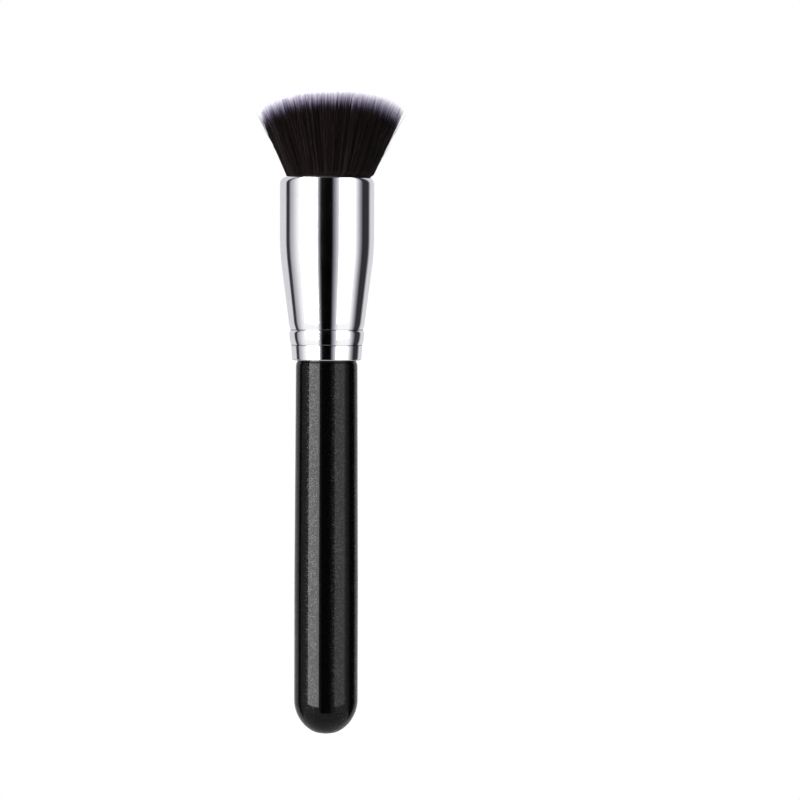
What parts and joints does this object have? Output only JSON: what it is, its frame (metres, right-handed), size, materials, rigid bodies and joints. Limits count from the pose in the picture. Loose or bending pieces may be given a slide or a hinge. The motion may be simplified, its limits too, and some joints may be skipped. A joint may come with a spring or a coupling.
{
  "type": "kabuki makeup brush",
  "caption": "Long-handled kabuki makeup brush: dense domed fibre tuft that flexes, polished tapered ferrule with rolled crimps, and a gloss black round handle.",
  "frame": {"origin": "on the brush's axis, at the middle of the straight shank of the handle, where a stand or a clip holds it", "axes": "+Z along the brush towards the fibre tips; the brush is round about Z, and +X is the side that the tuft bends to"},
  "size_m": [0.0362, 0.0362, 0.165],
  "materials": {
    "lacquered_wood": "gloss black lacquer with fine pearl flecks over turned wood",
    "polished_aluminium": "mirror polished",
    "adhesive": "cured adhesive",
    "resin": "cured clear amber resin",
    "thread": "twisted undyed thread",
    "fibre": "fine black synthetic fibre with pale tips"
  },
  "bodies": {
    "brush_body": {"handle": "lacquered_wood", "ferrule": "polished_aluminium", "tenon_adhesive": "adhesive", "root_resin": "resin", "binding_thread": "thread", "tuft_root": "fibre"},
    "tuft_body": {"tuft_head": "fibre"}
  },
  "joints": [
    {"name": "tuft_bend", "type": "hinge", "parent": "brush_body", "child": "tuft_body", "pos_m": [0, 0, 0.12292], "axis": [0, 1, 0], "range_deg": [-15, 15], "stiffness_Nm_per_rad": 0.04}
  ]
}
